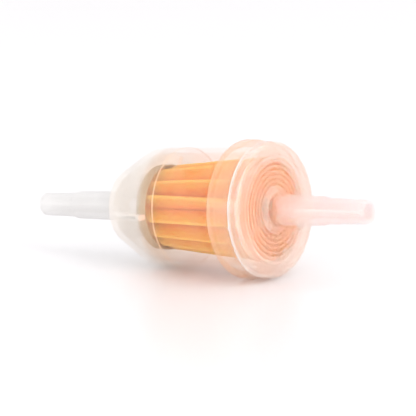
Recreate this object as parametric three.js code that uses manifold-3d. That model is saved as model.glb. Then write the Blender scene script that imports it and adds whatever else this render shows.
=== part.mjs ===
// Inline fuel filter for small engines: a translucent nylon canister between two hose barbs,
// with a pleated paper element inside. Nothing in it moves: the shell is welded for life.
//
// Millimetres. +X is the way the fuel flows, +Z is up, and the origin is the middle of the axis.
// Fuel comes in at the -X barb, fills the space around the element, passes through the paper
// into the core and leaves by the +X barb.

import * as THREE from 'three';
import { mergeVertices } from 'three/addons/utils/BufferGeometryUtils.js';
import Module from 'manifold-3d';

const wasm = await Module();
wasm.setup();

// ---------------------------------------------------------------- driving dimensions

const FACETS_AROUND = 40;
const HALF_LENGTH = 56;
const BORE_RADIUS = 2.15;
const TIP_ROUND = 0.35;
const SEAT_GAP = 0.05; // between pieces that are glued or welded face to face
const SLIP_GAP = 0.1; // around a piece that sits inside another

// Both barbs: a thin outer part for 1/4 inch hose and a thick inner part for 5/16 inch hose.
const BARB_TIP_RADIUS = 3.3;
const INLET_THIN_END_RADIUS = 3.5;
const INLET_STEP_X = -43.2;
const INLET_THICK_RADIUS = 4.0;
const INLET_ROOT_RADIUS = 4.2;
const OUTLET_ROOT_X = 27.6;
const OUTLET_ROOT_RADIUS = 4.37;
const OUTLET_STEP_X = 41.9;
const OUTLET_THICK_RADIUS = 4.0;
const OUTLET_THIN_RADIUS = 3.62;

// Housing: a domed end, a barrel with a little draft, and a flange that takes the cap.
const WALL = 1.42;
const DOME_END_X = -24.5;
const DOME_END_WALL = 1.5;
const DOME_SLOPE = 29.3; // degrees between the cone and the axis
const DOME_CORNER_ROUND = 1.2;
const SHOULDER_X = -11.7;
const SHOULDER_ROUND = 4.66;
const BARREL_RADIUS = 16.77;
const BARREL_END_RADIUS = 17.05;
const BEAD_START_X = 16.2;
const BEAD_END_X = 19.3;
const BEAD_RADIUS = 19.2;
const BEAD_BACK_ROUND = 0.6;
const BAND_RADIUS = 18.75;
const HOUSING_END_X = 23.05;
const FLANGE_BORE_RADIUS = 15.6;

// Weld: a groove in the housing's end face, a tongue on the cap, and the flash they squeeze out.
const WELD_GAP = 0.3;
const GROOVE_INNER_RADIUS = 16.85;
const GROOVE_OUTER_RADIUS = 17.75;
const GROOVE_DEPTH = 2.45;
const FLASH_INNER_RADIUS = 17.85;
const FLASH_OUTER_RADIUS = 18.95;

// Ribs inside the dome that centre the element's cup and stop it.
const RIB_COUNT = 3;
const RIB_FIRST_ANGLE = 5; // degrees from -Y towards -Z
const RIB_THICKNESS = 1.3;
const RIB_STOP_RADIUS = 9.4;

// Cap: a flat face with a shallow recess, and concentric ridges on its inside.
const CAP_RIM_RADIUS = 18.7;
const CAP_FACE_X = 26.3;
const CAP_RIM_ROUND = 1.5;
const RECESS_RADIUS = 15.2;
const RECESS_DEPTH = 0.3;
const CAP_INNER_X = 24.7;
const CAP_HOLLOW_RADIUS = 15.5;
const RIDGE_COUNT = 7;
const RIDGE_FIRST_RADIUS = 6.4;
const RIDGE_LAST_RADIUS = 14.6;
const RIDGE_BASE = 0.9;
const RIDGE_TIP = 0.5;
const RIDGE_HEIGHT = 0.8;

// Pleated paper and the pressed cup that closes its inlet end.
const PLEAT_COUNT = 14;
const FIRST_CREST_ANGLE = -19; // degrees from -Y towards -Z
const PAPER = 0.5;
const PLEAT_INNER_RADIUS = 7.0;
const CREST_SHARE = 0.07; // half width of a crest, as a share of the pitch between pleats
const FOLD_SHARE = 0.1; // half width of an inner fold, likewise
const ELEMENT_START_X = -12.4;
const ELEMENT_END_X = 22.0;
const CUP_START_X = -13.4;
const CUP_RIM_X = -9.95;
const CUP_RADIUS = 12.05;
const CUP_SHEET = 0.4;
const CUP_CORNER_ROUND = 0.8;

// Where the fan of pleats is how wide: narrow inside the cup, then widening to the cap.
const ELEMENT_OUTLINE = [
  { x: ELEMENT_START_X, radius: 11.3 },
  { x: CUP_RIM_X, radius: 11.4 },
  { x: -8.8, radius: 12.05 },
  { x: 6.5, radius: 13.4 },
  { x: ELEMENT_END_X, radius: 14.6 },
];

// Adhesives.
const CUP_POTTING_RADIUS = 11.15;
const CUP_POTTING_DEPTH = 0.5;
const OUTLET_POTTING_INNER_RADIUS = 3.1;
const OUTLET_POTTING_OUTER_RADIUS = 14.9;
const SEAM_WIDTH = 1.0;
const SEAM_HEIGHT = 0.4;
const SEAM_PLEAT = 7; // it is glued inside the fold after this crest

// ---------------------------------------------------------------- outlines and solids

// An outline is a list of [x, radius] points. It runs towards +X on the outside of the piece
// and back on the inside, so that every turned face points out.

function arc(centreX, centreRadius, round, fromDegrees, toDegrees, steps) {
  const points = [];
  for (let step = 0; step <= steps; step += 1) {
    const degrees = fromDegrees + ((toDegrees - fromDegrees) * step) / steps;
    const angle = THREE.MathUtils.degToRad(degrees);
    points.push([centreX + round * Math.cos(angle), centreRadius + round * Math.sin(angle)]);
  }
  return points;
}

// Turns an outline about the X axis. A ring's outline is closed by repeating its first point.
function turned(outline) {
  const points = outline.map(([x, radius]) => new THREE.Vector2(radius, x));
  const geometry = new THREE.LatheGeometry(points, FACETS_AROUND);
  geometry.rotateZ(-Math.PI / 2);
  return geometry;
}

function turnedRing(outline) {
  return turned([...outline, outline[0]]);
}

function bareMesh(geometry) {
  const bare = geometry.clone();
  bare.deleteAttribute('normal');
  bare.deleteAttribute('uv');
  return mergeVertices(bare, 1e-4);
}

function solidFrom(geometry) {
  const merged = bareMesh(geometry);
  const index = Array.from(merged.index.array);
  const corners = [];
  for (let i = 0; i < index.length; i += 3) {
    const [a, b, c] = index.slice(i, i + 3);
    if (a !== b && b !== c && c !== a) corners.push(a, b, c);
  }
  const mesh = new wasm.Mesh({
    numProp: 3,
    vertProperties: new Float32Array(merged.attributes.position.array),
    triVerts: new Uint32Array(corners),
  });
  return new wasm.Manifold(mesh);
}

function geometryFrom(solid) {
  const mesh = solid.getMesh();
  const geometry = new THREE.BufferGeometry();
  const position = new THREE.BufferAttribute(new Float32Array(mesh.vertProperties), 3);
  geometry.setAttribute('position', position);
  geometry.setIndex(new THREE.BufferAttribute(new Uint32Array(mesh.triVerts), 1));
  return geometry;
}

// ---------------------------------------------------------------- dome outline

const coneNormal = 90 + DOME_SLOPE;
const shoulderCentreRadius = BARREL_RADIUS - SHOULDER_ROUND;

// Radius of the dome's cone at x, or of a surface that lies `depth` under it. The cone starts
// where the shoulder's round ends.
function coneRadius(x, depth) {
  const slope = THREE.MathUtils.degToRad(DOME_SLOPE);
  const shoulderEndX = SHOULDER_X - SHOULDER_ROUND * Math.sin(slope);
  const shoulderEndRadius = shoulderCentreRadius + SHOULDER_ROUND * Math.cos(slope);
  return shoulderEndRadius + (x - shoulderEndX) * Math.tan(slope) - depth / Math.cos(slope);
}

// ---------------------------------------------------------------- pieces

function housingShell() {
  const cornerX = DOME_END_X + DOME_CORNER_ROUND;
  const cornerRadius = coneRadius(cornerX, DOME_CORNER_ROUND);
  const chamberEndX = DOME_END_X + DOME_END_WALL;
  const beadFrontRound = BEAD_RADIUS - BAND_RADIUS;
  return turnedRing([
    [-HALF_LENGTH, BORE_RADIUS],
    ...arc(-HALF_LENGTH + TIP_ROUND, BARB_TIP_RADIUS - TIP_ROUND, TIP_ROUND, 180, 90, 2),
    [INLET_STEP_X, INLET_THIN_END_RADIUS],
    [INLET_STEP_X, INLET_THICK_RADIUS],
    [DOME_END_X, INLET_ROOT_RADIUS],
    ...arc(cornerX, cornerRadius, DOME_CORNER_ROUND, 180, coneNormal, 2),
    ...arc(SHOULDER_X, shoulderCentreRadius, SHOULDER_ROUND, coneNormal, 90, 3),
    [BEAD_START_X, BARREL_END_RADIUS],
    ...arc(BEAD_START_X + BEAD_BACK_ROUND, BEAD_RADIUS - BEAD_BACK_ROUND, BEAD_BACK_ROUND, 180, 90, 2),
    ...arc(BEAD_END_X - beadFrontRound, BAND_RADIUS, beadFrontRound, 90, 0, 2),
    [HOUSING_END_X, BAND_RADIUS],
    [HOUSING_END_X, GROOVE_OUTER_RADIUS],
    [HOUSING_END_X - GROOVE_DEPTH, GROOVE_OUTER_RADIUS],
    [HOUSING_END_X - GROOVE_DEPTH, GROOVE_INNER_RADIUS],
    [HOUSING_END_X, GROOVE_INNER_RADIUS],
    [HOUSING_END_X, FLANGE_BORE_RADIUS],
    ...arc(SHOULDER_X, shoulderCentreRadius, SHOULDER_ROUND - WALL, 90, coneNormal, 2),
    [chamberEndX, coneRadius(chamberEndX, WALL)],
    [chamberEndX, BORE_RADIUS],
  ]);
}

// One rib: it stands on the dome's wall, stops the cup's back and runs along its side to its rim.
function centringRib(angleDegrees) {
  const midWall = WALL / 2;
  const rootX = DOME_END_X + DOME_END_WALL / 2;
  const stopX = CUP_START_X - SLIP_GAP;
  const kneeX = SHOULDER_X - SHOULDER_ROUND / 2;
  const outline = new THREE.Shape([
    new THREE.Vector2(rootX, RIB_STOP_RADIUS),
    new THREE.Vector2(stopX, RIB_STOP_RADIUS),
    new THREE.Vector2(stopX, CUP_RADIUS + SLIP_GAP),
    new THREE.Vector2(CUP_RIM_X, CUP_RADIUS + SLIP_GAP),
    new THREE.Vector2(CUP_RIM_X, BARREL_RADIUS - midWall),
    new THREE.Vector2(SHOULDER_X, BARREL_RADIUS - midWall),
    new THREE.Vector2(kneeX, coneRadius(kneeX, midWall)),
    new THREE.Vector2(rootX, coneRadius(rootX, midWall)),
  ]);
  const rib = new THREE.ExtrudeGeometry(outline, { depth: RIB_THICKNESS, bevelEnabled: false });
  rib.translate(0, 0, -RIB_THICKNESS / 2);
  rib.rotateX(Math.PI + THREE.MathUtils.degToRad(angleDegrees));
  return rib;
}

function inletHousing() {
  let housing = solidFrom(housingShell());
  for (let rib = 0; rib < RIB_COUNT; rib += 1) {
    const angle = RIB_FIRST_ANGLE + (360 / RIB_COUNT) * rib;
    housing = housing.add(solidFrom(centringRib(angle)));
  }
  return geometryFrom(housing);
}

// The ridges on the cap's inner face, from the innermost to the outermost.
function ridgeOutline() {
  const points = [];
  const pitch = (RIDGE_LAST_RADIUS - RIDGE_FIRST_RADIUS) / (RIDGE_COUNT - 1);
  for (let ridge = 0; ridge < RIDGE_COUNT; ridge += 1) {
    const middle = RIDGE_FIRST_RADIUS + pitch * ridge;
    points.push(
      [CAP_INNER_X, middle - RIDGE_BASE / 2],
      [CAP_INNER_X - RIDGE_HEIGHT, middle - RIDGE_TIP / 2],
      [CAP_INNER_X - RIDGE_HEIGHT, middle + RIDGE_TIP / 2],
      [CAP_INNER_X, middle + RIDGE_BASE / 2],
    );
  }
  return points;
}

function outletCap() {
  const backX = HOUSING_END_X + WELD_GAP;
  const tongueEndX = HOUSING_END_X - GROOVE_DEPTH + SLIP_GAP;
  const recessX = CAP_FACE_X - RECESS_DEPTH;
  const rootRound = OUTLET_ROOT_X - recessX;
  return turnedRing([
    [backX, CAP_RIM_RADIUS],
    ...arc(CAP_FACE_X - CAP_RIM_ROUND, CAP_RIM_RADIUS - CAP_RIM_ROUND, CAP_RIM_ROUND, 90, 0, 4),
    [CAP_FACE_X, RECESS_RADIUS],
    [recessX, RECESS_RADIUS - RECESS_DEPTH],
    ...arc(OUTLET_ROOT_X, OUTLET_ROOT_RADIUS + rootRound, rootRound, 180, 270, 3),
    [OUTLET_STEP_X, OUTLET_THICK_RADIUS],
    [OUTLET_STEP_X, OUTLET_THIN_RADIUS],
    ...arc(HALF_LENGTH - TIP_ROUND, BARB_TIP_RADIUS - TIP_ROUND, TIP_ROUND, 90, 0, 2),
    [HALF_LENGTH, BORE_RADIUS],
    [CAP_INNER_X, BORE_RADIUS],
    ...ridgeOutline(),
    [CAP_INNER_X, CAP_HOLLOW_RADIUS],
    [backX, CAP_HOLLOW_RADIUS],
    [backX, GROOVE_INNER_RADIUS + SLIP_GAP],
    [tongueEndX, GROOVE_INNER_RADIUS + SLIP_GAP],
    [tongueEndX, GROOVE_OUTER_RADIUS - SLIP_GAP],
    [backX, GROOVE_OUTER_RADIUS - SLIP_GAP],
  ]);
}

// A flat ring between two planes: the flash and the outlet potting.
function flatRing(startX, endX, innerRadius, outerRadius) {
  return turnedRing([
    [startX, innerRadius],
    [startX, outerRadius],
    [endX, outerRadius],
    [endX, innerRadius],
  ]);
}

function weldFlash() {
  const startX = HOUSING_END_X + SEAT_GAP;
  const endX = HOUSING_END_X + WELD_GAP - SEAT_GAP;
  return flatRing(startX, endX, FLASH_INNER_RADIUS, FLASH_OUTER_RADIUS);
}

// The middle line of the folded sheet, all the way round, at its full outlet-end radius.
function pleatLine() {
  const crestRadius = ELEMENT_OUTLINE[ELEMENT_OUTLINE.length - 1].radius - PAPER / 2;
  const pitch = (2 * Math.PI) / PLEAT_COUNT;
  const firstCrest = THREE.MathUtils.degToRad(180 + FIRST_CREST_ANGLE);
  const line = [];
  for (let pleat = 0; pleat < PLEAT_COUNT; pleat += 1) {
    const corners = [
      [crestRadius, pleat - CREST_SHARE],
      [crestRadius, pleat + CREST_SHARE],
      [PLEAT_INNER_RADIUS, pleat + 0.5 - FOLD_SHARE],
      [PLEAT_INNER_RADIUS, pleat + 0.5 + FOLD_SHARE],
    ];
    for (const [radius, share] of corners) {
      const angle = firstCrest + share * pitch;
      line.push(new THREE.Vector2(radius * Math.cos(angle), radius * Math.sin(angle)));
    }
  }
  return line;
}

// Moves every corner of a closed loop away from the axis side of its two edges by `distance`.
function offsetLoop(loop, distance) {
  return loop.map((corner, i) => {
    const before = corner.clone().sub(loop[(i + loop.length - 1) % loop.length]).normalize();
    const after = loop[(i + 1) % loop.length].clone().sub(corner).normalize();
    const mitre = new THREE.Vector2(before.y + after.y, -before.x - after.x).normalize();
    const halfTurn = mitre.x * before.y - mitre.y * before.x;
    return corner.clone().addScaledVector(mitre, distance / halfTurn);
  });
}

// The folded sheet is one extrusion. Its rows are then moved to the stations of ELEMENT_OUTLINE,
// and each row is drawn in towards the inner folds until its crests have that station's radius.
function pleatedElement() {
  const section = new THREE.Shape(offsetLoop(pleatLine(), PAPER / 2));
  section.holes.push(new THREE.Path(offsetLoop(pleatLine(), -PAPER / 2)));
  const steps = ELEMENT_OUTLINE.length - 1;
  const geometry = new THREE.ExtrudeGeometry(section, { depth: steps, steps, bevelEnabled: false });
  const fullRadius = ELEMENT_OUTLINE[steps].radius;
  const position = geometry.attributes.position;
  for (let i = 0; i < position.count; i += 1) {
    const across = new THREE.Vector2(position.getX(i), position.getY(i));
    const station = ELEMENT_OUTLINE[Math.round(position.getZ(i))];
    const reach = (station.radius - PLEAT_INNER_RADIUS) / (fullRadius - PLEAT_INNER_RADIUS);
    const beyondFold = across.length() - PLEAT_INNER_RADIUS;
    const radius = beyondFold > 0 ? PLEAT_INNER_RADIUS + beyondFold * reach : across.length();
    across.setLength(radius);
    position.setXYZ(i, station.x, across.x, across.y);
  }
  return geometry;
}

function elementEndCup() {
  const cornerX = CUP_START_X + CUP_CORNER_ROUND;
  const cornerRadius = CUP_RADIUS - CUP_CORNER_ROUND;
  return turned([
    [CUP_START_X, 0],
    ...arc(cornerX, cornerRadius, CUP_CORNER_ROUND, 180, 90, 3),
    [CUP_RIM_X, CUP_RADIUS],
    [CUP_RIM_X, CUP_RADIUS - CUP_SHEET],
    ...arc(cornerX, cornerRadius, CUP_CORNER_ROUND - CUP_SHEET, 90, 180, 2),
    [CUP_START_X + CUP_SHEET, 0],
  ]);
}

function cupPotting() {
  const startX = CUP_START_X + CUP_SHEET + SEAT_GAP;
  return turned([
    [startX, 0],
    [startX, CUP_POTTING_RADIUS],
    [startX + CUP_POTTING_DEPTH, CUP_POTTING_RADIUS],
    [startX + CUP_POTTING_DEPTH, 0],
  ]);
}

function outletPotting() {
  const startX = ELEMENT_END_X + SLIP_GAP;
  const endX = CAP_INNER_X - RIDGE_HEIGHT - SLIP_GAP;
  return flatRing(startX, endX, OUTLET_POTTING_INNER_RADIUS, OUTLET_POTTING_OUTER_RADIUS);
}

// The glue line where the sheet's two ends meet, on the clean side of one inner fold.
function seamAdhesive() {
  const startX = ELEMENT_START_X + SLIP_GAP;
  const endX = ELEMENT_END_X - SLIP_GAP;
  const geometry = new THREE.BoxGeometry(endX - startX, SEAM_HEIGHT, SEAM_WIDTH);
  const middleRadius = PLEAT_INNER_RADIUS - PAPER / 2 - SLIP_GAP - SEAM_HEIGHT / 2;
  const foldAngle = FIRST_CREST_ANGLE + (360 * (SEAM_PLEAT + 0.5)) / PLEAT_COUNT;
  geometry.translate((startX + endX) / 2, -middleRadius, 0);
  geometry.rotateX(THREE.MathUtils.degToRad(foldAngle));
  return geometry;
}

// ---------------------------------------------------------------- materials

function nylon(color) {
  const material = new THREE.MeshStandardMaterial({ color, roughness: 0.28, metalness: 0 });
  material.transparent = true;
  material.opacity = 0.45;
  return material;
}

const filterPaper = new THREE.MeshStandardMaterial({ color: 0xf5a35e, roughness: 0.9, metalness: 0 });
const tinnedSteel = new THREE.MeshStandardMaterial({ color: 0xb9b49c, roughness: 0.45, metalness: 0.6 });
const meltedNylon = new THREE.MeshStandardMaterial({ color: 0xfff7f0, roughness: 0.35, metalness: 0 });

function adhesive() {
  return new THREE.MeshStandardMaterial({ color: 0xf4d9b8, roughness: 0.4, metalness: 0 });
}

// ---------------------------------------------------------------- assembly

const filter = new THREE.Group();

function addPiece(name, geometry, material) {
  const mesh = new THREE.Mesh(geometry, material);
  mesh.name = name;
  filter.add(mesh);
}

addPiece('inlet_housing', inletHousing(), nylon(0xefe8e2));
addPiece('outlet_cap', outletCap(), nylon(0xf9d2c4));
addPiece('weld_flash', weldFlash(), meltedNylon);
addPiece('pleated_element', pleatedElement(), filterPaper);
addPiece('element_end_cup', elementEndCup(), tinnedSteel);
addPiece('cup_potting', cupPotting(), adhesive());
addPiece('outlet_potting', outletPotting(), adhesive());
addPiece('seam_adhesive', seamAdhesive(), adhesive());

export default filter;
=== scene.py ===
import math
import random

import bmesh
import bpy
from mathutils import Matrix, Vector, noise


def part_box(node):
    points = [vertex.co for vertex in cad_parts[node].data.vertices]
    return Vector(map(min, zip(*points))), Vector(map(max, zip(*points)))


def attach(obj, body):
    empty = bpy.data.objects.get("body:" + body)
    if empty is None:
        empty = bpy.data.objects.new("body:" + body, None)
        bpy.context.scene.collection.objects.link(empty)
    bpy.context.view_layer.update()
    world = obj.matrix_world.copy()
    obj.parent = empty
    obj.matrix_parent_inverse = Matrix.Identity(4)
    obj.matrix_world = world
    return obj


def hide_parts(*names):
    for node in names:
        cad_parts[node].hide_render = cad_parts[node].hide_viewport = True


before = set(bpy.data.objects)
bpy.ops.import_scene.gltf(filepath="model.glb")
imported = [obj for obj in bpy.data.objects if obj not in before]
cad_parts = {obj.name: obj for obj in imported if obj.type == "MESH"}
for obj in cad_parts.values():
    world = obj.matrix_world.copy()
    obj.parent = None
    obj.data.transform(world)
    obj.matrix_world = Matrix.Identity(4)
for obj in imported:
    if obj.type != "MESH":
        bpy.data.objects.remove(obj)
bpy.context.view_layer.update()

# A translucent inline fuel filter. The axis is X and the fuel flows towards +X. The filter's
# sizes and outlines, which are lists of (x, radius, round) corners, are in millimetres. The
# floor, the lights and the camera's distance are in metres.

MM = 0.001
TURNS = 192  # facets around a turned piece that asks for no other count
ARC_STEP = 0.28  # radians between the points of a rounded corner
FLAT_EDGE = 0.06  # from the end of an arc to an extra point on the flat beside it
RAMP_RADIUS = 20.0  # a ramp holds 0 to 1, so a radius in a ramp is divided by this


def node_span(node):
    """Lowest and highest x of a CAD node, and its largest radius, in millimetres."""
    low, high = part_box(node)
    return low[0] / MM, high[0] / MM, high[2] / MM


HOUSING_START, HOUSING_END, BEAD_RADIUS = node_span("inlet_housing")
TONGUE_END, CAP_TIP, CAP_RADIUS = node_span("outlet_cap")
FLASH_START, FLASH_END, FLASH_RADIUS = node_span("weld_flash")
ELEMENT_START, ELEMENT_END, ELEMENT_RADIUS = node_span("pleated_element")
CUP_START, CUP_RIM, CUP_RADIUS = node_span("element_end_cup")
CUP_GLUE_START, CUP_GLUE_END, CUP_GLUE_RADIUS = node_span("cup_potting")
POTTING_START, POTTING_END, POTTING_RADIUS = node_span("outlet_potting")

BORE = 2.15
WALL = 1.42
BARREL_RADIUS = 16.77
BARREL_END_RADIUS = 17.05  # the barrel widens a little towards the bead
BEAD_BACK = 16.2
BEAD_FRONT = 19.3
BAND_RADIUS = 18.75
DOME_END = -24.5
SHOULDER = -11.7
SHOULDER_ROUND = 4.66
CONE_SLOPE = math.tan(math.radians(29.3))
WITNESS_LINE = -3.75  # the mould's parting line round the barrel
GROOVE_DEPTH = 2.45
GROOVE_OUTER = 17.75
GROOVE_INNER = 16.85
FLANGE_BORE = 15.6

# Each barb has a thin end, a step and a thick part, and flares slightly towards its root. The
# steps are places along x, the rounds belong to corners, and the rest are radii.
BARB_END = 3.3
BARB_END_ROUND = 0.5
BARB_MOUTH_ROUND = 0.2
INLET_STEP = -43.2
INLET_THIN = 3.5
INLET_ROOT = 4.2
OUTLET_STEP = 41.9
OUTLET_THIN = 3.62
BARB_THICK = 4.0

CAP_BACK = HOUSING_END + 0.3
CAP_FACE = 26.3
CAP_INNER = 24.7
CAP_HOLLOW = 15.5
RECESS_DEPTH = 0.3
RECESS_OUTER = 15.25
RECESS_INNER = 14.95
TONGUE_OUTER = 17.65
TONGUE_INNER = 16.95
RIDGE_TOP = CAP_INNER - 0.8
RIDGE_BASE_HALF = 0.45
RIDGE_TIP_HALF = 0.25
RIDGE_RADII = [6.4 + 1.367 * k for k in range(7)]

RIB_ANGLES = [5.0, 125.0, 245.0]  # degrees from -Y towards -Z
RIB_FREE_EDGE = 9.4
RIB_HALF_THICKNESS = 0.65
RIB_DRAFT = 0.035  # the root is wider than the free edge, as draft leaves it
CUP_CLEARANCE = 0.1

FLASH_ROOT = 17.85
FLASH_TORN_FROM = 18.3  # outside this radius the edge is ragged
BROKEN_END = 0.78  # radians; pieces of the flash have broken away from -Y down to here

PLEATS = 14
PLEAT_INNER = 7.0
PLEAT_START = math.radians(-19.0)  # the first crest, from -Y towards -Z
PLEAT_POINTS = 28  # points along one pleat's section
PLEAT_ROWS = 56  # steps along the element
PLEAT_SHARPNESS = 0.985  # 1 would fold the sheet to a point
POTTING_BORE = 3.1
PAPER = 0.4


# ------------------------------------------------------------------ outlines and meshes


def cone_radius(x, depth=0.0):
    """Radius of the dome's cone at x, or of a surface `depth` under it."""
    slope = math.atan(CONE_SLOPE)
    start_x = SHOULDER - SHOULDER_ROUND * math.sin(slope)
    start_radius = BARREL_RADIUS - SHOULDER_ROUND * (1 - math.cos(slope))
    return start_radius + (x - start_x) * CONE_SLOPE - depth / math.cos(slope)


def cone_x(radius, depth=0.0):
    """Where the dome's cone reaches a radius."""
    return (radius - cone_radius(0.0, depth)) / CONE_SLOPE


def rounded(corners, closed=True):
    """Replaces each (x, radius, round) corner by an arc of that round."""
    count = len(corners)
    points = []
    for i, (x, r, size) in enumerate(corners):
        corner = Vector((x, r))
        if size <= 0 or (not closed and i in (0, count - 1)):
            points.append(corner)
            continue
        before = Vector(corners[i - 1][:2]) - corner
        after = Vector(corners[(i + 1) % count][:2]) - corner
        turn = before.angle(after)
        reach = size / math.tan(turn / 2)
        reach = min(reach, before.length * 0.49, after.length * 0.49)
        start = corner + before.normalized() * reach
        end = corner + after.normalized() * reach
        # A point just before and after each arc keeps the shading of the flats flat.
        if reach + FLAT_EDGE < before.length * 0.49:
            points.append(start + before.normalized() * FLAT_EDGE)
        steps = max(2, int(math.ceil((math.pi - turn) / ARC_STEP)))
        for k in range(steps + 1):
            t = k / steps
            # A rational quadratic with this weight is a true circular arc.
            weight = math.sin(turn / 2)
            a, b, c = (1 - t) ** 2, 2 * t * (1 - t) * weight, t * t
            points.append((start * a + corner * b + end * c) / (a + b + c))
        if reach + FLAT_EDGE < after.length * 0.49:
            points.append(end + after.normalized() * FLAT_EDGE)
    return points


def mesh_object(name, verts, faces):
    """A new object in the scene from vertices and faces."""
    mesh = bpy.data.meshes.new(name)
    mesh.from_pydata(verts, [], faces)
    mesh.validate()
    obj = bpy.data.objects.new(name, mesh)
    bpy.context.scene.collection.objects.link(obj)
    return obj


def point_at(x, radius, angle):
    """A point at x and radius; the angle runs from -Y towards -Z."""
    return (x * MM, -radius * math.cos(angle) * MM, -radius * math.sin(angle) * MM)


def turned(name, corners, closed=True, turns=TURNS, wobble=None):
    """Turns an outline about X. An open outline starts and ends on the axis."""
    outline = rounded(corners, closed)
    verts, rings = [], []
    for point in outline:
        if point.y < 1e-6:
            rings.append([len(verts)] * turns)
            verts.append((point.x * MM, 0.0, 0.0))
            continue
        rings.append(list(range(len(verts), len(verts) + turns)))
        for k in range(turns):
            angle = 2 * math.pi * k / turns
            x, r = (point.x, point.y) if wobble is None else wobble(point.x, point.y, angle)
            verts.append(point_at(x, r, angle))
    faces = []
    pairs = zip(rings, rings[1:] + rings[:1]) if closed else zip(rings, rings[1:])
    for ring, following in pairs:
        for k in range(turns):
            j = (k + 1) % turns
            face = []
            for v in (ring[k], following[k], following[j], ring[j]):
                if v not in face:
                    face.append(v)
            if len(face) > 2:
                faces.append(face)
    return finish_mesh(mesh_object(name, verts, faces))


def point_faces_out(obj):
    """Turns the faces of a closed mesh outwards."""
    bm = bmesh.new()
    bm.from_mesh(obj.data)
    bmesh.ops.recalc_face_normals(bm, faces=bm.faces)
    bm.to_mesh(obj.data)
    bm.free()


def finish_mesh(obj, sharp_degrees=38):
    """Points all faces out and shades the mesh smooth, apart from its sharp edges."""
    point_faces_out(obj)
    obj.data.shade_smooth()
    obj.data.set_sharp_from_angle(angle=math.radians(sharp_degrees))
    return obj


# ------------------------------------------------------------------ pieces


def rib(angle):
    """One centring rib as a closed prism, rooted in the middle of the dome's wall."""
    half = WALL / 2
    root = DOME_END + 0.75
    stop = CUP_START - CUP_CLEARANCE
    knee = SHOULDER - SHOULDER_ROUND / 2
    side = [
        (root, RIB_FREE_EDGE),
        (stop, RIB_FREE_EDGE),
        (stop, CUP_RADIUS + CUP_CLEARANCE),
        (CUP_RIM, CUP_RADIUS + CUP_CLEARANCE),
        (CUP_RIM, BARREL_RADIUS - half),
        (SHOULDER, BARREL_RADIUS - half),
        (knee, cone_radius(knee, half)),
        (root, cone_radius(root, half)),
    ]
    verts = []
    turn = Matrix.Rotation(math.radians(angle), 4, "X")
    for across in (-RIB_HALF_THICKNESS, RIB_HALF_THICKNESS):
        for x, r in side:
            draft = 1.0 + RIB_DRAFT * (r - CUP_RADIUS)
            verts.append(turn @ (Vector((x, -r, -across * draft)) * MM))
    n = len(side)
    faces = [list(range(n)), list(range(n, 2 * n))[::-1]]
    faces += [[i, (i + 1) % n, n + (i + 1) % n, n + i] for i in range(n)]
    obj = mesh_object("rib", verts, faces)
    point_faces_out(obj)
    return obj


def join_solids(base, others):
    """Unites overlapping closed meshes into `base` and removes them."""
    for other in others:
        cut = base.modifiers.new("unite", "BOOLEAN")
        cut.operation = "UNION"
        cut.solver = "EXACT"
        cut.object = other
    graph = bpy.context.evaluated_depsgraph_get()
    joined = bpy.data.meshes.new_from_object(base.evaluated_get(graph))
    base.modifiers.clear()
    base.data = joined
    for other in others:
        bpy.data.objects.remove(other)
    return base


def housing():
    """Barb, dome, barrel, bead and weld band as one wall, joined with the three ribs."""
    shoulder_x = cone_x(BARREL_RADIUS)
    inner_x = cone_x(BARREL_RADIUS - WALL, WALL)
    chamber = DOME_END + 1.5
    corners = [
        (HOUSING_START, BORE, BARB_MOUTH_ROUND),
        (HOUSING_START, BARB_END, BARB_END_ROUND),
        (INLET_STEP, INLET_THIN, 0.12),
        (INLET_STEP, BARB_THICK, 0.2),
        (DOME_END, INLET_ROOT, 0.5),
        (DOME_END, cone_radius(DOME_END), 1.3),
        (shoulder_x, BARREL_RADIUS, SHOULDER_ROUND),
        (WITNESS_LINE - 0.3, BARREL_RADIUS + 0.08, 0),
        (WITNESS_LINE - 0.1, BARREL_RADIUS + 0.16, 0.05),
        (WITNESS_LINE + 0.1, BARREL_RADIUS + 0.16, 0.05),
        (WITNESS_LINE + 0.3, BARREL_RADIUS + 0.08, 0),
        (BEAD_BACK, BARREL_END_RADIUS, 0.25),
        (BEAD_BACK, BEAD_RADIUS, 0.6),
        (BEAD_FRONT, BEAD_RADIUS, 0.45),
        (BEAD_FRONT, BAND_RADIUS, 0.1),
        (HOUSING_END, BAND_RADIUS, 0.12),
        (HOUSING_END, GROOVE_OUTER, 0.1),
        (HOUSING_END - GROOVE_DEPTH, GROOVE_OUTER, 0.15),
        (HOUSING_END - GROOVE_DEPTH, GROOVE_INNER, 0.15),
        (HOUSING_END, GROOVE_INNER, 0.1),
        (HOUSING_END, FLANGE_BORE, 0.15),
        (inner_x, BARREL_RADIUS - WALL, SHOULDER_ROUND - WALL),
        (chamber, cone_radius(chamber, WALL), 0.5),
        (chamber, BORE, 0.5),
    ]
    shell = turned("housing_shell", corners)
    join_solids(shell, [rib(angle) for angle in RIB_ANGLES])
    return finish_mesh(shell)


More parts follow.
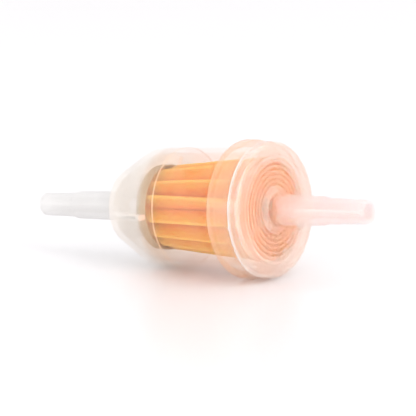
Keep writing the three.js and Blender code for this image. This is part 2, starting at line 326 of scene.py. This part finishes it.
def cap():
    """Recessed face, outlet barb, ridges on the inner side and the tongue, as one wall."""
    corners = [
        (CAP_BACK, CAP_RADIUS, 0.12),
        (CAP_FACE, CAP_RADIUS, 1.5),
        (CAP_FACE, RECESS_OUTER, 0.25),
        (CAP_FACE - RECESS_DEPTH, RECESS_INNER, 0.25),
        (CAP_FACE - RECESS_DEPTH, 4.4, 1.6),
        (OUTLET_STEP, BARB_THICK, 0.2),
        (OUTLET_STEP, OUTLET_THIN, 0.12),
        (CAP_TIP, BARB_END, BARB_END_ROUND),
        (CAP_TIP, BORE, BARB_MOUTH_ROUND),
        (CAP_INNER, BORE, 0.4),
    ]
    for radius in RIDGE_RADII:
        corners += [
            (CAP_INNER, radius - RIDGE_BASE_HALF, 0.1),
            (RIDGE_TOP, radius - RIDGE_TIP_HALF, 0.2),
            (RIDGE_TOP, radius + RIDGE_TIP_HALF, 0.2),
            (CAP_INNER, radius + RIDGE_BASE_HALF, 0.1),
        ]
    corners += [
        (CAP_INNER, CAP_HOLLOW, 0.2),
        (CAP_BACK, CAP_HOLLOW, 0.1),
        (CAP_BACK, TONGUE_INNER, 0.1),
        (TONGUE_END, TONGUE_INNER, 0.15),
        (TONGUE_END, TONGUE_OUTER, 0.15),
        (CAP_BACK, TONGUE_OUTER, 0.1),
    ]
    return turned("cap_moulding", corners)


def ragged(x, radius, angle):
    """Moves a point of the weld flash, whose outer edge is torn at the front."""
    if radius < FLASH_TORN_FROM:
        return x, radius
    around = Vector((math.cos(angle) * 9, math.sin(angle) * 9, x))
    front = max(0.0, math.cos(angle - 0.3)) ** 2
    torn = max(0.0, noise.noise(around * 3.1)) * 0.45 + 0.15 * noise.noise(around * 9.0)
    gone = 0.0
    if angle < BROKEN_END:
        broken = math.cos((angle + 0.12) * 1.6)
        gone = broken * 0.35 * max(0.0, noise.noise(around * 1.3 + Vector((4, 0, 0))) + 0.15)
    lifted = front * min(0.4, torn + 0.12)
    return x + 0.05 * noise.noise(around * 5.0), radius - 0.12 + lifted - gone


def flash():
    """The thin ring of nylon squeezed out between the two mouldings."""
    corners = [
        (FLASH_START, FLASH_ROOT, 0),
        (FLASH_START - 0.05, FLASH_RADIUS - 0.15, 0.05),
        (FLASH_END + 0.05, FLASH_RADIUS - 0.15, 0.05),
        (FLASH_END, FLASH_ROOT, 0),
    ]
    return turned("weld_line", corners, turns=540, wobble=ragged)


def crest_radius(x):
    """Radius of the pleats' crests along the element: narrow in the cup, widening to the cap."""
    stations = [
        (ELEMENT_START, 11.25),
        (CUP_RIM - 0.2, 11.4),
        (CUP_RIM + 1.4, 12.1),
        (6.5, 13.4),
        (ELEMENT_END, ELEMENT_RADIUS),
    ]
    for (x0, r0), (x1, r1) in zip(stations, stations[1:]):
        if x <= x1:
            return r0 + (r1 - r0) * max(0.0, x - x0) / (x1 - x0)
    return ELEMENT_RADIUS


# How far the front crests stand off their even places at the cup and at the cap, in degrees.
# The others are shifted at random.
CREST_SHIFTS = {
    0: (-4.0, 3.5),
    1: (5.6, 5.0),
    2: (4.5, 3.0),
    13: (-0.5, 2.5),
    12: (1.0, -1.0),
}


def pleated_paper():
    """The folded sheet: two skins a paper's thickness apart, closed at both ends."""
    rng = random.Random(7)
    pitch = 2 * math.pi / PLEATS
    shifts = []
    for k in range(PLEATS):
        near, far = rng.uniform(-3, 3), rng.uniform(-3, 3)
        near, far = CREST_SHIFTS.get(k, (near, far))
        shifts.append((math.radians(near), math.radians(far), rng.uniform(-0.25, 0.0)))
    top = math.asin(PLEAT_SHARPNESS)

    def shift_at(t, along):
        """How far the sheet is turned at pleat t; `along` is 0 at the cup and 1 at the cap."""
        k = int(math.floor(t)) % PLEATS
        f = t - math.floor(t)
        blend = f * f * (3 - 2 * f)
        ends = []
        for near, far, _ in (shifts[k], shifts[(k + 1) % PLEATS]):
            ends.append(near + (far - near) * along)
        return ends[0] + (ends[1] - ends[0]) * blend

    def drop_at(t):
        """What is added to the radius of the nearest crest: nothing, or a little less."""
        k = int(round(t)) % PLEATS
        return shifts[k][2]

    def line_at(x):
        """The sheet's middle line in the section at x."""
        along = (x - ELEMENT_START) / (ELEMENT_END - ELEMENT_START)
        crest = crest_radius(x) - PAPER / 2
        points = []
        for i in range(PLEATS * PLEAT_POINTS):
            t = i / PLEAT_POINTS
            wave = math.asin(PLEAT_SHARPNESS * math.cos(2 * math.pi * t)) / top
            up = 0.5 + 0.5 * wave
            angle = PLEAT_START + pitch * t + shift_at(t, along)
            crinkle = noise.noise(Vector((x * 0.22, math.cos(angle) * 4, math.sin(angle) * 4)))
            radius = PLEAT_INNER + (crest + drop_at(t) * up - PLEAT_INNER) * up
            radius += 0.10 * crinkle * min(1.0, up * 2) - 0.05
            angle += 0.012 * noise.noise(Vector((x * 0.16 + 9, t * 2.3, 0.0))) * (1 - abs(wave))
            points.append(Vector((radius * math.cos(angle), radius * math.sin(angle))))
        return points

    def skin(points, distance):
        """The line moved sideways by a distance."""
        moved = []
        n = len(points)
        for i, p in enumerate(points):
            along = (points[(i + 1) % n] - points[i - 1]).normalized()
            moved.append(p + Vector((along.y, -along.x)) * distance)
        return moved

    verts = []
    count = PLEATS * PLEAT_POINTS
    for side in (1, -1):
        for row in range(PLEAT_ROWS + 1):
            x = ELEMENT_START + (ELEMENT_END - ELEMENT_START) * row / PLEAT_ROWS
            for p in skin(line_at(x), side * PAPER / 2):
                verts.append((x * MM, -p.x * MM, -p.y * MM))
    faces = []
    block = (PLEAT_ROWS + 1) * count
    for row in range(PLEAT_ROWS):
        for i in range(count):
            j = (i + 1) % count
            a, b = row * count + i, row * count + j
            c, d = b + count, a + count
            faces.append((a, b, c, d))
            faces.append((block + a, block + d, block + c, block + b))
    for row, flip in ((0, True), (PLEAT_ROWS, False)):
        for i in range(count):
            j = (i + 1) % count
            a, b = row * count + i, row * count + j
            face = [a, b, block + b, block + a]
            faces.append(face[::-1] if flip else face)
    return finish_mesh(mesh_object("paper_element", verts, faces), 60)


def end_cup():
    """The pressed metal cup, with a slightly sunken middle and a rim that barely flares."""
    inner = CUP_RADIUS - 0.4
    corners = [
        (CUP_START + 0.25, 0, 0),
        (CUP_START + 0.25, 4.4, 0.4),
        (CUP_START, 5.4, 0.5),
        (CUP_START, CUP_RADIUS, 0.85),
        (CUP_RIM - 0.25, CUP_RADIUS, 0.15),
        (CUP_RIM, CUP_RADIUS + 0.04, 0.1),
        (CUP_RIM, inner + 0.02, 0.1),
        (CUP_START + 0.4, inner, 0.45),
        (CUP_START + 0.4, 5.4, 0.3),
        (CUP_START + 0.62, 4.4, 0.3),
        (CUP_START + 0.62, 0, 0),
    ]
    return turned("pressed_cup", corners, closed=False)


def cup_glue():
    """The disc of adhesive in the cup."""

    def meniscus(x, radius, angle):
        swell = 0.06 * noise.noise(Vector((radius, math.cos(angle) * 3, math.sin(angle) * 3)))
        return x + (swell if x > CUP_GLUE_START + 0.2 else 0.0), radius

    corners = [
        (CUP_GLUE_START + 0.25, 0, 0),
        (CUP_GLUE_START + 0.25, 4.2, 0.2),
        (CUP_GLUE_START + 0.05, 5.6, 0.2),
        (CUP_GLUE_START + 0.05, CUP_GLUE_RADIUS, 0.2),
        (CUP_GLUE_END, CUP_GLUE_RADIUS, 0.25),
        (CUP_GLUE_END, 7.0, 0),
        (CUP_GLUE_END, 3.0, 0),
        (CUP_GLUE_END, 0, 0),
    ]
    return turned("cup_glue", corners, closed=False, turns=96, wobble=meniscus)


def cap_glue():
    """The ring of adhesive at the outlet end, with the way out left open."""

    def meniscus(x, radius, angle):
        lift = 0.08 * noise.noise(Vector((radius * 0.8, math.cos(angle) * 4, math.sin(angle) * 4)))
        edge = 0.18 * noise.noise(Vector((math.cos(angle) * 5, math.sin(angle) * 5, x)))
        return x + lift, radius + (edge if radius > 14 or radius < 4 else 0.0)

    corners = [
        (POTTING_START + 0.08, POTTING_BORE, 0.3),
        (POTTING_START + 0.08, POTTING_RADIUS - 0.2, 0.4),
        (POTTING_END - 0.08, POTTING_RADIUS - 0.2, 0.4),
        (POTTING_END - 0.08, POTTING_BORE, 0.3),
    ]
    return turned("cap_glue", corners, turns=144, wobble=meniscus)


def seam_glue():
    """A bead of glue along the inside of one fold."""
    low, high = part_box("seam_adhesive")
    middle = (Vector(low) + Vector(high)) / 2
    radius = Vector((middle.y, middle.z)).length / MM
    angle = math.atan2(-middle.z, -middle.y)
    verts, faces = [], []
    rows, around = 40, 12
    for row in range(rows + 1):
        x = low[0] / MM + (high[0] - low[0]) / MM * row / rows
        thick = 1.0 + 0.18 * noise.noise(Vector((x * 0.5, 2.0, 7.0)))
        if row in (0, rows):
            thick *= 0.55
        for k in range(around):
            a = 2 * math.pi * k / around
            r = radius + 0.17 * thick * math.cos(a)
            verts.append(point_at(x, r, angle + 0.42 * thick * math.sin(a) / radius))
    for row in range(rows):
        for k in range(around):
            j = (k + 1) % around
            a, b = row * around + k, row * around + j
            faces.append((a, b, b + around, a + around))
    faces.append(tuple(range(around))[::-1])
    faces.append(tuple(rows * around + k for k in range(around)))
    return finish_mesh(mesh_object("seam_glue", verts, faces), 50)


# ------------------------------------------------------------------ materials


class Material:
    """A node material with one Principled shader, and short ways to add nodes to it.

    Places in it are in the object's own coordinates: x along the axis and radius from it.
    """

    def __init__(self, name):
        self.material = bpy.data.materials.new(name)
        self.material.use_nodes = True
        self.tree = self.material.node_tree
        self.tree.nodes.clear()
        self.shader = self.add("ShaderNodeBsdfPrincipled")
        output = self.add("ShaderNodeOutputMaterial")
        self.join(self.shader, "BSDF", output, "Surface")
        self.place = self.add("ShaderNodeTexCoord")
        split = self.add("ShaderNodeSeparateXYZ")
        self.join(self.place, "Object", split, 0)
        self.x = split.outputs["X"]
        across = self.maths("POWER", split.outputs["Y"], 2.0)
        upward = self.maths("POWER", split.outputs["Z"], 2.0)
        self.radius = self.maths("SQRT", self.maths("ADD", across, upward), 0.0)

    def add(self, kind, **settings):
        node = self.tree.nodes.new(kind)
        for key, value in settings.items():
            setattr(node, key, value)
        return node

    def join(self, source, output, target, socket):
        self.tree.links.new(source.outputs[output], target.inputs[socket])

    def set(self, **values):
        for key, value in values.items():
            self.shader.inputs[key.replace("_", " ")].default_value = value

    def noise(self, scale, detail=3.0, roughness=0.5, stretch=None):
        texture = self.add("ShaderNodeTexNoise")
        texture.inputs["Scale"].default_value = scale
        texture.inputs["Detail"].default_value = detail
        texture.inputs["Roughness"].default_value = roughness
        if stretch is None:
            self.join(self.place, "Object", texture, "Vector")
        else:
            mapping = self.add("ShaderNodeMapping")
            mapping.inputs["Scale"].default_value = stretch
            self.join(self.place, "Object", mapping, "Vector")
            self.join(mapping, "Vector", texture, "Vector")
        return texture.outputs["Fac"]

    def spread(self, source, low, high, start=0.0, end=1.0, smooth=False):
        node = self.add("ShaderNodeMapRange")
        if smooth:
            node.interpolation_type = "SMOOTHSTEP"
        self.tree.links.new(source, node.inputs["Value"])
        node.inputs["From Min"].default_value = start
        node.inputs["From Max"].default_value = end
        node.inputs["To Min"].default_value = low
        node.inputs["To Max"].default_value = high
        return node.outputs["Result"]

    def maths(self, operation, a, b):
        node = self.add("ShaderNodeMath", operation=operation)
        for socket, value in zip(node.inputs, (a, b)):
            if isinstance(value, (int, float)):
                socket.default_value = value
            else:
                self.tree.links.new(value, socket)
        return node.outputs[0]

    def ramp(self, source, *stops):
        node = self.add("ShaderNodeValToRGB")
        elements = node.color_ramp.elements
        elements[0].position, elements[0].color = stops[0][0], (*stops[0][1], 1)
        elements[1].position, elements[1].color = stops[-1][0], (*stops[-1][1], 1)
        for position, colour in stops[1:-1]:
            elements.new(position).color = (*colour, 1)
        self.tree.links.new(source, node.inputs["Fac"])
        return node.outputs["Color"]

    def along(self, *stops):
        """A value that changes with x: (x in millimetres, value) stops."""
        low, high = stops[0][0], stops[-1][0]
        place = self.spread(self.x, 0.0, 1.0, low * MM, high * MM)
        return self.ramp(place, *[((x - low) / (high - low), (v, v, v)) for x, v in stops])

    def blend(self, factor, first, second):
        node = self.add("ShaderNodeMix", data_type="RGBA")
        self.tree.links.new(factor, node.inputs["Factor"])
        self.tree.links.new(first, node.inputs[6])
        self.tree.links.new(second, node.inputs[7])
        return node.outputs[2]

    def feed(self, socket, output):
        self.tree.links.new(output, self.shader.inputs[socket])

    def bump(self, *layers):
        """Stacks (height output, depth in metres) layers into the shader's normal."""
        normal = None
        for height, depth in layers:
            node = self.add("ShaderNodeBump")
            node.inputs["Strength"].default_value = 0.95
            node.inputs["Distance"].default_value = depth
            self.tree.links.new(height, node.inputs["Height"])
            if normal is not None:
                self.tree.links.new(normal, node.inputs["Normal"])
            normal = node.outputs["Normal"]
        self.feed("Normal", normal)


def natural_nylon():
    """Milky where the moulding is thick or frosted, nearly clear around the element."""
    m = Material("natural_nylon")
    m.set(IOR=1.65)
    cloud = m.noise(140, 4)
    line = WITNESS_LINE
    # The narrow peaks of haze just past the bead's back edge and at 18.2 mm are painted
    # highlights: pale lines along the bead's edges.
    haze = m.along(
        (-56.0, 0.66),
        (-26.0, 0.60),
        (-23.0, 0.55),
        (-15.5, 0.38),
        (-9.5, 0.24),
        (line - 0.2, 0.20),
        (line + 0.2, 0.15),
        (BEAD_BACK - 0.4, 0.15),
        (BEAD_BACK + 0.1, 0.50),
        (BEAD_BACK + 0.6, 0.35),
        (18.0, 0.37),
        (18.2, 0.50),
        (18.5, 0.35),
        (BEAD_FRONT, 0.40),
        (HOUSING_END, 0.32),
    )
    # The mould's parting line stands out of the barrel. The extra haze along it is a painted
    # highlight, a pale line where it catches the light.
    parting = m.along(
        (line - 0.32, 0.0),
        (line - 0.16, 0.5),
        (line + 0.16, 0.5),
        (line + 0.32, 0.0),
    )
    skin = m.maths("GREATER_THAN", m.radius, 16.2 * MM)
    haze = m.maths("ADD", haze, m.maths("MULTIPLY", parting, skin))
    # The ribs are solid between the wall and the cup, so they look paler than the wall.
    wall_line = m.along(
        (-23.0, (cone_radius(-23.0, WALL) - 0.2) / RAMP_RADIUS),
        (-13.5, (cone_radius(-13.5, WALL) - 0.2) / RAMP_RADIUS),
        (SHOULDER, 15.0 / RAMP_RADIUS),
        (-8.0, 15.0 / RAMP_RADIUS),
    )
    scaled = m.maths("MULTIPLY", m.radius, 1 / (RAMP_RADIUS * MM))
    inward = m.maths("LESS_THAN", scaled, wall_line)
    ribbed = m.along((-23.1, 0.0), (-22.9, 1.0), (-9.6, 1.0), (-9.5, 0.0))
    solid = m.maths("MULTIPLY", inward, ribbed)
    haze = m.maths("ADD", haze, m.maths("MULTIPLY", solid, 0.65))
    haze = m.maths("ADD", haze, m.spread(cloud, -0.03, 0.03, 0.3, 0.7))
    # The faces of the groove are fused to the tongue, so they hardly show.
    welded_end = m.along(
        (HOUSING_END - 2.7, 0.0),
        (HOUSING_END - 2.6, 1.0),
        (HOUSING_END + 1.0, 1.0),
    )
    within = m.maths("LESS_THAN", m.radius, 18.2 * MM)
    beyond = m.maths("GREATER_THAN", m.radius, 15.9 * MM)
    fused = m.maths("MULTIPLY", welded_end, m.maths("MULTIPLY", within, beyond))
    m.feed("Alpha", m.maths("MULTIPLY", haze, m.spread(fused, 1.0, 0.12)))
    m.feed("Roughness", m.along((-24.5, 0.36), (line, 0.30), (line + 0.2, 0.16), (17.0, 0.22)))
    white = m.ramp(cloud, (0.3, (0.77, 0.755, 0.74)), (0.7, (0.81, 0.80, 0.79)))
    cream = m.ramp(cloud, (0.3, (0.96, 0.89, 0.82)), (0.7, (0.98, 0.92, 0.86)))
    # The peach over the paper is painted light: the orange glow the paper throws into the wall.
    peach_paper_glow = m.ramp(cloud, (0.3, (0.88, 0.55, 0.33)), (0.7, (0.93, 0.62, 0.41)))
    body = m.along((-29.0, 0.0), (-22.0, 1.0))
    over_paper = m.along((CUP_RIM, 0.0), (CUP_RIM + 2.0, 1.0))
    wall = m.blend(over_paper, m.blend(body, white, cream), peach_paper_glow)
    bright = m.ramp(cloud, (0.3, (0.98, 0.96, 0.93)), (0.7, (1.0, 0.99, 0.97)))
    m.feed("Base Color", m.blend(solid, wall, bright))
    m.bump((m.noise(200, 2), 0.00002))
    return m.material


def pink_nylon():
    """Tinted nylon; the ridges inside the cap's face show as paler rings where it is thicker."""
    m = Material("pink_nylon")
    m.set(IOR=1.9, Subsurface_Weight=1.0, Subsurface_Scale=0.0014)
    m.shader.inputs["Subsurface Radius"].default_value = (1.0, 0.6, 0.5)
    cloud = m.noise(160, 4)
    pitch = RIDGE_RADII[1] - RIDGE_RADII[0]
    past_first = m.maths("SUBTRACT", m.radius, RIDGE_RADII[0] * MM)
    phase = m.maths("MULTIPLY", past_first, 2 * math.pi / (pitch * MM))
    wave = m.spread(m.maths("COSINE", phase, 0.0), 0.0, 1.0, -1.0, 1.0)
    face = m.along((CAP_INNER - 1.2, 1.0), (CAP_FACE + 0.4, 1.0), (CAP_FACE + 0.6, 0.0))
    inside = m.spread(m.radius, 1.0, 0.0, 14.6 * MM, 15.3 * MM)
    outside = m.spread(m.radius, 0.0, 1.0, 5.4 * MM, 6.0 * MM)
    ringed = m.maths("MULTIPLY", inside, outside)
    rings = m.maths("MULTIPLY", m.maths("MULTIPLY", wave, face), ringed)
    rim = m.spread(m.radius, 0.0, 0.32, 12.4 * MM, 14.8 * MM, smooth=True)
    corner = m.spread(m.radius, 0.0, 0.05, 17.0 * MM, 18.0 * MM, smooth=True)
    barb = m.along((CAP_FACE + 0.5, 0.0), (CAP_FACE + 2.0, 0.44), (CAP_TIP, 0.44))
    boss = m.spread(m.radius, 0.42, 0.0, 4.8 * MM, 7.0 * MM, smooth=True)
    boss = m.maths("MULTIPLY", boss, face)
    edges = m.maths("ADD", rim, corner)
    haze = m.maths("ADD", edges, m.maths("ADD", barb, boss))
    haze = m.maths("ADD", haze, m.spread(rings, 0.07, 0.34))
    haze = m.maths("ADD", haze, m.spread(cloud, -0.03, 0.03, 0.3, 0.7))
    # The tongue and the back face are fused to the housing, so they hardly show.
    open_part = m.along(
        (TONGUE_END, 0.12),
        (CAP_BACK + 0.04, 0.12),
        (CAP_BACK + 0.12, 1.0),
        (CAP_TIP, 1.0),
    )
    m.feed("Alpha", m.maths("MULTIPLY", haze, open_part))
    face_pink = m.ramp(cloud, (0.3, (0.94, 0.70, 0.58)), (0.7, (0.97, 0.76, 0.65)))
    barb_pink = m.ramp(cloud, (0.3, (0.85, 0.74, 0.72)), (0.7, (0.89, 0.80, 0.785)))
    outward = m.along((CAP_FACE, 0.0), (CAP_FACE + 3.0, 0.6), (CAP_TIP, 1.0))
    # A redder rose band round the barb's step is painted shade.
    step = m.along(
        (OUTLET_STEP - 0.5, 0.0),
        (OUTLET_STEP - 0.15, 0.7),
        (OUTLET_STEP + 0.05, 0.7),
        (OUTLET_STEP + 0.2, 0.0),
    )
    rose_step_shade = m.ramp(cloud, (0.3, (0.93, 0.55, 0.50)), (0.7, (0.95, 0.62, 0.57)))
    # Painted glow: the element's orange light shows through the thick root of the barb.
    root = m.along(
        (CAP_FACE - 0.4, 0.0),
        (CAP_FACE + 0.3, 0.8),
        (CAP_FACE + 1.2, 0.8),
        (CAP_FACE + 3.5, 0.0),
    )
    painted_glow = m.ramp(cloud, (0.3, (0.98, 0.52, 0.34)), (0.7, (1.0, 0.60, 0.42)))
    pink = m.blend(root, m.blend(outward, face_pink, barb_pink), painted_glow)
    m.feed("Base Color", m.blend(step, pink, rose_step_shade))
    m.feed("Roughness", m.spread(cloud, 0.08, 0.13))
    m.bump((m.noise(3800, 2), 0.000002), (m.noise(160, 2), 0.00001))
    return m.material


def weld_nylon():
    """Nylon squeezed out by the weld: nearly white, see-through in part and uneven."""
    m = Material("weld_nylon")
    m.set(IOR=1.46)
    m.feed("Transmission Weight", m.spread(m.noise(900, 3), 0.2, 0.5))
    white = m.ramp(m.noise(600, 3), (0.3, (0.98, 0.93, 0.90)), (0.7, (1.0, 0.98, 0.96)))
    m.feed("Base Color", white)
    m.feed("Roughness", m.spread(m.noise(1200, 3), 0.2, 0.45))
    m.bump((m.noise(2600, 3), 0.00004))
    return m.material


def filter_paper():
    """Orange paper with fibres, with painted highlights along its crests and painted shade far
    into its folds.
    """
    m = Material("filter_paper")
    m.set(Subsurface_Weight=0.7, Subsurface_Scale=0.0015, Specular_IOR_Level=0.25)
    m.shader.inputs["Subsurface Radius"].default_value = (1.0, 0.45, 0.15)
    fibres = m.noise(2200, 4, 0.65, stretch=(0.25, 1.0, 1.0))
    blotch = m.noise(260, 3)
    both = m.maths("ADD", m.maths("MULTIPLY", fibres, 0.55), m.maths("MULTIPLY", blotch, 0.45))
    sheet = m.ramp(
        both,
        (0.30, (0.96, 0.33, 0.030)),
        (0.50, (0.98, 0.39, 0.045)),
        (0.70, (1.00, 0.46, 0.075)),
    )
    # Paler paper along the crests is a painted highlight where the folds catch the light, and
    # painted light also lifts the shade just past the cup's rim. The darker paper far into the
    # folds is painted shade.
    crest = m.along(
        (ELEMENT_START, crest_radius(ELEMENT_START) / RAMP_RADIUS),
        (CUP_RIM + 1.4, crest_radius(CUP_RIM + 1.4) / RAMP_RADIUS),
        (6.5, crest_radius(6.5) / RAMP_RADIUS),
        (ELEMENT_END, crest_radius(ELEMENT_END) / RAMP_RADIUS),
    )
    scaled = m.maths("MULTIPLY", m.radius, 1 / (RAMP_RADIUS * MM))
    below = m.maths("SUBTRACT", crest, scaled)
    painted_light = m.spread(below, 0.65, 0.0, 0.018, 0.05, smooth=True)
    painted_light = m.maths("MAXIMUM", painted_light, m.along((CUP_RIM, 0.9), (CUP_RIM + 3.5, 0.0)))
    fold_shade = m.spread(below, 0.0, 0.6, 0.08, 0.25, smooth=True)
    # The first colour below is the painted highlight's colour and the second is the painted
    # shade's colour.
    pale = m.ramp(fibres, (0.3, (1.0, 0.53, 0.12)), (0.7, (1.0, 0.60, 0.17)))
    shade_orange = m.ramp(fibres, (0.3, (0.93, 0.24, 0.015)), (0.7, (0.96, 0.28, 0.022)))
    m.feed("Base Color", m.blend(fold_shade, m.blend(painted_light, sheet, pale), shade_orange))
    m.feed("Roughness", m.spread(fibres, 0.78, 0.95))
    m.bump((fibres, 0.00004), (m.noise(700, 3), 0.00006))
    return m.material


def tinned_steel():
    """Dull pressed metal with faint streaks along the axis."""
    m = Material("tinned_steel")
    m.set(Metallic=0.5)
    drawn = m.noise(1500, 3, 0.6, stretch=(0.06, 1.0, 1.0))
    dull = m.noise(300, 4)
    m.feed("Base Color", m.ramp(dull, (0.3, (0.32, 0.325, 0.24)), (0.7, (0.42, 0.425, 0.34))))
    m.feed("Roughness", m.spread(dull, 0.35, 0.55))
    m.bump((drawn, 0.00001), (dull, 0.00003))
    return m.material


def amber_glue():
    """The adhesive: orange, with an uneven pale outer edge."""
    m = Material("amber_glue")
    m.set(IOR=1.5, Subsurface_Weight=1.0, Subsurface_Scale=0.001)
    m.shader.inputs["Subsurface Radius"].default_value = (1.0, 0.6, 0.35)
    cloud = m.noise(300, 4)
    m.feed("Transmission Weight", m.spread(cloud, 0.15, 0.05))
    orange = m.ramp(cloud, (0.3, (0.98, 0.37, 0.11)), (0.7, (1.0, 0.45, 0.17)))
    pale = m.ramp(cloud, (0.3, (0.98, 0.72, 0.58)), (0.7, (1.0, 0.80, 0.68)))
    edge = m.maths("ADD", m.radius, m.spread(m.noise(420, 2), -0.0012, 0.0012, 0.3, 0.7))
    outer = m.spread(edge, 0.0, 1.0, 13.2 * MM, 14.2 * MM)
    m.feed("Base Color", m.blend(outer, orange, pale))
    m.feed("Roughness", m.spread(cloud, 0.2, 0.35))
    m.bump((m.noise(500, 3), 0.0001))
    return m.material


# ------------------------------------------------------------------ stage, light, camera

# The filter lies on the rim of its bead and on the shoulder of its barrel.
REST_BACK = Vector((-12.0, 0.0, -BARREL_RADIUS)) * MM
REST_FRONT = Vector((18.7, 0.0, -BEAD_RADIUS)) * MM
FLOOR_ALONG = (REST_FRONT - REST_BACK).normalized()
FLOOR_UP = FLOOR_ALONG.cross(Vector((0, 1, 0))).normalized()
VIEW_BACK = Vector((0.5906, -0.798, 0.1215)).normalized()
VIEW_TARGET = Vector((3.0, 0.0, 0.0)) * MM
VIEW_DISTANCE = 0.614
LENS = 190.4


def floor():
    """A plain pale floor under the filter, 12 m across so that its edge is far away."""
    size = 6.0
    across = FLOOR_UP.cross(FLOOR_ALONG)
    middle = REST_FRONT
    verts = []
    for a, b in ((-1, -1), (1, -1), (1, 1), (-1, 1)):
        verts.append(middle + FLOOR_ALONG * a * size + across * b * size)
    obj = mesh_object("floor", verts, [(0, 1, 2, 3)])
    m = Material("floor")
    m.set(Specular_IOR_Level=0.35, Roughness=0.28)
    pale = m.ramp(m.noise(3, 2), (0.3, (0.880, 0.870, 0.880)), (0.7, (0.890, 0.881, 0.890)))
    m.feed("Base Color", pale)
    obj.data.materials.append(m.material)
    return obj


def aim(obj, place, target, up):
    """Points an object's -Z at the target, with its Y near `up`."""
    back = (place - target).normalized()
    right = up.cross(back).normalized()
    top = back.cross(right)
    turn = Matrix((right, top, back)).transposed().to_4x4()
    obj.matrix_world = Matrix.Translation(place) @ turn


def softbox(name, direction, distance, width, height, radiance, roll=0.0):
    """A soft rectangular light that faces the filter from a direction."""
    light = bpy.data.lights.new(name, "AREA")
    light.shape = "RECTANGLE"
    light.size = width
    light.size_y = height
    light.energy = radiance * width * height * math.pi
    obj = bpy.data.objects.new(name, light)
    bpy.context.scene.collection.objects.link(obj)
    aim(obj, Vector(direction).normalized() * distance, Vector((0, 0, 0)), FLOOR_UP)
    obj.matrix_world = obj.matrix_world @ Matrix.Rotation(math.radians(roll), 4, "Z")
    return obj


def studio():
    """A nearly white world and three soft lights."""
    world = bpy.data.worlds.new("studio")
    bpy.context.scene.world = world
    world.use_nodes = True
    world.node_tree.nodes["Background"].inputs["Color"].default_value = (1.0, 0.99, 1.0, 1)
    world.node_tree.nodes["Background"].inputs["Strength"].default_value = 1.0
    softbox("key_right", (0.808, -0.152, 0.569), 2.6, 1.3, 3.0, 2.1, roll=-40)
    softbox("front_fill", (0.45, -1.0, 0.03), 2.4, 2.6, 1.6, 2.1)
    softbox("left_fill", (-1.0, -0.85, 0.04), 2.4, 2.2, 1.4, 1.8)


def camera():
    """A long lens, so that the filter is seen with little perspective."""
    data = bpy.data.cameras.new("camera")
    data.lens = LENS
    data.sensor_width = 36.0
    data.clip_start = 0.01
    data.clip_end = 50.0
    obj = bpy.data.objects.new("camera", data)
    bpy.context.scene.collection.objects.link(obj)
    aim(obj, VIEW_TARGET + VIEW_BACK * VIEW_DISTANCE, VIEW_TARGET, FLOOR_UP)
    bpy.context.scene.camera = obj


def render_look():
    """Plain colours and enough bounces for the see-through nylon."""
    scene = bpy.context.scene
    scene.view_settings.view_transform = "Standard"
    scene.view_settings.look = "None"
    scene.view_settings.exposure = 0.0
    scene.view_settings.gamma = 1.0
    scene.cycles.use_denoising = True
    scene.cycles.use_adaptive_sampling = False
    scene.cycles.denoising_input_passes = "RGB"
    # A look through the weld passes more see-through faces than the usual limit of 8.
    scene.cycles.transparent_max_bounces = 64
    scene.cycles.max_bounces = 24
    scene.cycles.transmission_bounces = 20
    scene.cycles.diffuse_bounces = 5
    scene.cycles.glossy_bounces = 8
    scene.cycles.caustics_refractive = True
    scene.cycles.caustics_reflective = True
    scene.cycles.blur_glossy = 0.5


# ------------------------------------------------------------------ assembly


def add_piece(piece, node, material):
    """Gives a piece its material, and puts it in the place of a CAD node on the root body."""
    piece.data.materials.clear()
    piece.data.materials.append(material)
    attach(piece, "root")
    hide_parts(node)


glue = amber_glue()
add_piece(housing(), "inlet_housing", natural_nylon())
add_piece(cap(), "outlet_cap", pink_nylon())
add_piece(flash(), "weld_flash", weld_nylon())
add_piece(pleated_paper(), "pleated_element", filter_paper())
add_piece(end_cup(), "element_end_cup", tinned_steel())
add_piece(cup_glue(), "cup_potting", glue)
add_piece(cap_glue(), "outlet_potting", glue)
add_piece(seam_glue(), "seam_adhesive", glue)

floor()
studio()
camera()
render_look()
